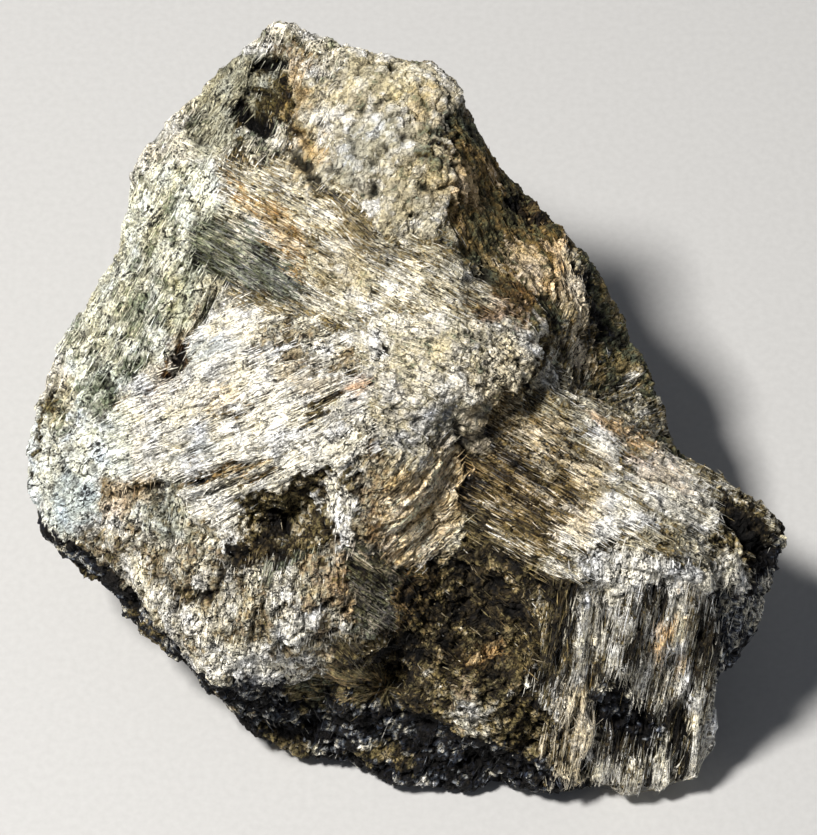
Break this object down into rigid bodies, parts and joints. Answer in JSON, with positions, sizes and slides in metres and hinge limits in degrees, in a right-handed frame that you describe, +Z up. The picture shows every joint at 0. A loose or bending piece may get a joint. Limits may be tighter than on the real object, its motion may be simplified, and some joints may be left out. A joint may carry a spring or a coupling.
{
  "type": "chrysotile hand specimen",
  "caption": "Loose broken chunk of massive fibrous serpentine rock with splintery fibre bundles, ledges, pits and creases, lying on its flat broken underside.",
  "frame": {"origin": "middle of the flat underside the stone rests on", "axes": "+X along the longest extent, towards the pointed end of the fibre shoulder; +Z up from the resting face, the shortest extent; -Y towards the side that the broad fibrous face leans to"},
  "size_m": [0.1241, 0.1034, 0.0817],
  "materials": {
    "fibrous_serpentine": "rough broken rock with a silky fibre sheen"
  },
  "bodies": {
    "root": {"chrysotile": "fibrous_serpentine"}
  },
  "joints": []
}
